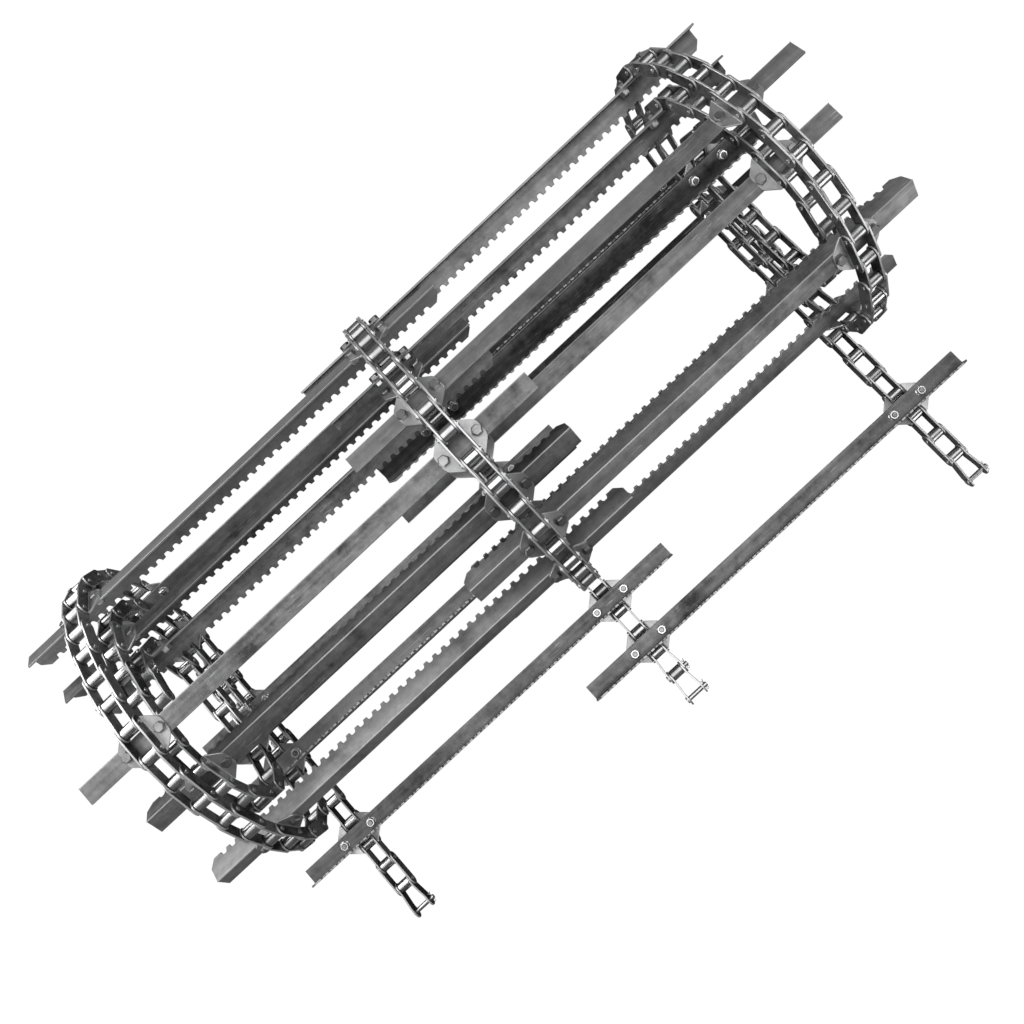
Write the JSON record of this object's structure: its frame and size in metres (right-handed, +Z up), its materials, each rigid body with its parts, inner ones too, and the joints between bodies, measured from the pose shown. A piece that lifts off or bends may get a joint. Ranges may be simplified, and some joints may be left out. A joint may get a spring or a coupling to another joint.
{
  "type": "conveyor chain",
  "caption": "Conveyor chain mat for a crop elevator: parallel roller chain strands tied by staggered serrated angle slats, rolled up with its free end laid flat.",
  "frame": {"origin": "centre of the overall box, on the ground", "axes": "+X along the slats, the loose tail points to -Y, +Z up"},
  "size_m": [1.242, 0.769, 0.3939],
  "materials": {
    "link_steel": "oiled dark steel, bright along the cut edges",
    "slat_steel": "mill finish hot-rolled steel, scuffed",
    "roller_steel": "ground and hardened, semi-bright",
    "pin_steel": "turned steel",
    "fastener_steel": "zinc plated"
  },
  "bodies": {
    "roll": {"left_rolled_inner_links": "link_steel", "left_rolled_outer_links": "link_steel", "left_rolled_slat_links": "link_steel", "middle_rolled_inner_links": "link_steel", "middle_rolled_outer_links": "link_steel", "middle_rolled_slat_links": "link_steel", "right_rolled_inner_links": "link_steel", "right_rolled_outer_links": "link_steel", "right_rolled_slat_links": "link_steel", "strand_start_links": "link_steel", "left_rolled_slats": "slat_steel", "right_rolled_slats": "slat_steel"},
    "left_link_1": {"left_link_1": "link_steel"},
    "left_slat_row": {"left_link_2": "link_steel", "middle_link_2": "link_steel", "left_row_slat": "slat_steel", "left_row_bolts": "fastener_steel", "left_row_nuts": "fastener_steel"},
    "left_link_3": {"left_link_3": "link_steel"},
    "left_link_4": {"left_link_4": "link_steel"},
    "left_link_5": {"left_link_5": "link_steel", "left_connecting_pin_5": "pin_steel", "left_cotter_5": "pin_steel"},
    "middle_link_1": {"middle_link_1": "link_steel"},
    "middle_link_3": {"middle_link_3": "link_steel"},
    "right_slat_row": {"middle_link_4": "link_steel", "right_link_4": "link_steel", "right_row_slat": "slat_steel", "right_row_bolts": "fastener_steel", "right_row_nuts": "fastener_steel"},
    "middle_link_5": {"middle_link_5": "link_steel", "middle_connecting_pin_5": "pin_steel", "middle_cotter_5": "pin_steel"},
    "middle_link_6": {"middle_link_6": "link_steel", "middle_connecting_pin_6": "pin_steel", "middle_cotter_6": "pin_steel"},
    "right_link_1": {"right_link_1": "link_steel"},
    "right_link_2": {"right_link_2": "link_steel"},
    "right_link_3": {"right_link_3": "link_steel"},
    "right_link_5": {"right_link_5": "link_steel"},
    "right_link_6": {"right_link_6": "link_steel"},
    "right_link_7": {"right_link_7": "link_steel", "right_connecting_pin_7": "pin_steel", "right_cotter_7": "pin_steel"},
    "left_roller_1": {"left_roller_1": "roller_steel"},
    "left_roller_2": {"left_roller_2": "roller_steel"},
    "left_roller_3": {"left_roller_3": "roller_steel"},
    "left_roller_4": {"left_roller_4": "roller_steel"},
    "middle_roller_1": {"middle_roller_1": "roller_steel"},
    "middle_roller_2": {"middle_roller_2": "roller_steel"},
    "middle_roller_3": {"middle_roller_3": "roller_steel"},
    "middle_roller_4": {"middle_roller_4": "roller_steel"},
    "middle_roller_5": {"middle_roller_5": "roller_steel"},
    "right_roller_1": {"right_roller_1": "roller_steel"},
    "right_roller_2": {"right_roller_2": "roller_steel"},
    "right_roller_3": {"right_roller_3": "roller_steel"},
    "right_roller_4": {"right_roller_4": "roller_steel"},
    "right_roller_5": {"right_roller_5": "roller_steel"},
    "right_roller_6": {"right_roller_6": "roller_steel"}
  },
  "joints": [
    {"name": "middle_joint_1", "type": "hinge", "parent": "roll", "child": "middle_link_1", "pos_m": [0, -0.08463, 0.0101], "axis": [-1, 0, 0], "range_deg": [-30, 10]},
    {"name": "left_joint_1", "type": "hinge", "parent": "roll", "child": "left_link_1", "pos_m": [-0.521, -0.08463, 0.0101], "axis": [-1, 0, 0], "range_deg": [-30, 10]},
    {"name": "right_joint_1", "type": "hinge", "parent": "roll", "child": "right_link_1", "pos_m": [0.521, -0.08463, 0.0101], "axis": [-1, 0, 0], "range_deg": [-30, 10]},
    {"name": "left_row_joint", "type": "hinge", "parent": "middle_link_1", "child": "left_slat_row", "pos_m": [0, -0.12603, 0.0101], "axis": [-1, 0, 0], "range_deg": [-30, 10]},
    {"name": "right_joint_2", "type": "hinge", "parent": "right_link_1", "child": "right_link_2", "pos_m": [0.521, -0.12603, 0.0101], "axis": [-1, 0, 0], "range_deg": [-30, 10]},
    {"name": "middle_joint_3", "type": "hinge", "parent": "left_slat_row", "child": "middle_link_3", "pos_m": [0, -0.16743, 0.0101], "axis": [-1, 0, 0], "range_deg": [-30, 15]},
    {"name": "right_joint_3", "type": "hinge", "parent": "right_link_2", "child": "right_link_3", "pos_m": [0.521, -0.16743, 0.0101], "axis": [-1, 0, 0], "range_deg": [-30, 15]},
    {"name": "right_row_joint", "type": "hinge", "parent": "middle_link_3", "child": "right_slat_row", "pos_m": [0, -0.20883, 0.0101], "axis": [-1, 0, 0], "range_deg": [-30, 15]},
    {"name": "middle_joint_5", "type": "hinge", "parent": "right_slat_row", "child": "middle_link_5", "pos_m": [0, -0.25023, 0.0101], "axis": [-1, 0, 0], "range_deg": [-30, 20]},
    {"name": "middle_joint_6", "type": "hinge", "parent": "middle_link_5", "child": "middle_link_6", "pos_m": [0, -0.29163, 0.0101], "axis": [-1, 0, 0], "range_deg": [-30, 20]},
    {"name": "left_joint_3", "type": "hinge", "parent": "left_slat_row", "child": "left_link_3", "pos_m": [-0.521, -0.16743, 0.0101], "axis": [-1, 0, 0], "range_deg": [-30, 20]},
    {"name": "left_joint_4", "type": "hinge", "parent": "left_link_3", "child": "left_link_4", "pos_m": [-0.521, -0.20883, 0.0101], "axis": [-1, 0, 0], "range_deg": [-30, 20]},
    {"name": "left_joint_5", "type": "hinge", "parent": "left_link_4", "child": "left_link_5", "pos_m": [-0.521, -0.25023, 0.0101], "axis": [-1, 0, 0], "range_deg": [-30, 20]},
    {"name": "right_joint_5", "type": "hinge", "parent": "right_slat_row", "child": "right_link_5", "pos_m": [0.521, -0.25023, 0.0101], "axis": [-1, 0, 0], "range_deg": [-30, 20]},
    {"name": "right_joint_6", "type": "hinge", "parent": "right_link_5", "child": "right_link_6", "pos_m": [0.521, -0.29163, 0.0101], "axis": [-1, 0, 0], "range_deg": [-30, 20]},
    {"name": "right_joint_7", "type": "hinge", "parent": "right_link_6", "child": "right_link_7", "pos_m": [0.521, -0.33303, 0.0101], "axis": [-1, 0, 0], "range_deg": [-30, 20]},
    {"name": "left_roller_1_spin", "type": "hinge", "parent": "left_link_1", "child": "left_roller_1", "pos_m": [-0.521, -0.12603, 0.0101], "axis": [1, 0, 0], "continuous": true},
    {"name": "left_roller_2_spin", "type": "hinge", "parent": "left_link_3", "child": "left_roller_2", "pos_m": [-0.521, -0.16743, 0.0101], "axis": [1, 0, 0], "continuous": true},
    {"name": "left_roller_3_spin", "type": "hinge", "parent": "left_link_3", "child": "left_roller_3", "pos_m": [-0.521, -0.20883, 0.0101], "axis": [1, 0, 0], "continuous": true},
    {"name": "left_roller_4_spin", "type": "hinge", "parent": "left_link_5", "child": "left_roller_4", "pos_m": [-0.521, -0.25023, 0.0101], "axis": [1, 0, 0], "continuous": true},
    {"name": "middle_roller_1_spin", "type": "hinge", "parent": "middle_link_1", "child": "middle_roller_1", "pos_m": [0, -0.12603, 0.0101], "axis": [1, 0, 0], "continuous": true},
    {"name": "middle_roller_2_spin", "type": "hinge", "parent": "middle_link_3", "child": "middle_roller_2", "pos_m": [0, -0.16743, 0.0101], "axis": [1, 0, 0], "continuous": true},
    {"name": "middle_roller_3_spin", "type": "hinge", "parent": "middle_link_3", "child": "middle_roller_3", "pos_m": [0, -0.20883, 0.0101], "axis": [1, 0, 0], "continuous": true},
    {"name": "middle_roller_4_spin", "type": "hinge", "parent": "middle_link_5", "child": "middle_roller_4", "pos_m": [0, -0.25023, 0.0101], "axis": [1, 0, 0], "continuous": true},
    {"name": "middle_roller_5_spin", "type": "hinge", "parent": "middle_link_6", "child": "middle_roller_5", "pos_m": [0, -0.29163, 0.0101], "axis": [1, 0, 0], "continuous": true},
    {"name": "right_roller_1_spin", "type": "hinge", "parent": "right_link_1", "child": "right_roller_1", "pos_m": [0.521, -0.12603, 0.0101], "axis": [1, 0, 0], "continuous": true},
    {"name": "right_roller_2_spin", "type": "hinge", "parent": "right_link_3", "child": "right_roller_2", "pos_m": [0.521, -0.16743, 0.0101], "axis": [1, 0, 0], "continuous": true},
    {"name": "right_roller_3_spin", "type": "hinge", "parent": "right_link_3", "child": "right_roller_3", "pos_m": [0.521, -0.20883, 0.0101], "axis": [1, 0, 0], "continuous": true},
    {"name": "right_roller_4_spin", "type": "hinge", "parent": "right_link_5", "child": "right_roller_4", "pos_m": [0.521, -0.25023, 0.0101], "axis": [1, 0, 0], "continuous": true},
    {"name": "right_roller_5_spin", "type": "hinge", "parent": "right_link_5", "child": "right_roller_5", "pos_m": [0.521, -0.29163, 0.0101], "axis": [1, 0, 0], "continuous": true},
    {"name": "right_roller_6_spin", "type": "hinge", "parent": "right_link_7", "child": "right_roller_6", "pos_m": [0.521, -0.33303, 0.0101], "axis": [1, 0, 0], "continuous": true}
  ],
  "couplings": [
    {"joint": "left_joint_1", "follows": "middle_joint_1", "ratio": 1},
    {"joint": "right_joint_1", "follows": "middle_joint_1", "ratio": 1},
    {"joint": "right_joint_2", "follows": "left_row_joint", "ratio": 1},
    {"joint": "right_joint_3", "follows": "middle_joint_3", "ratio": 1}
  ]
}
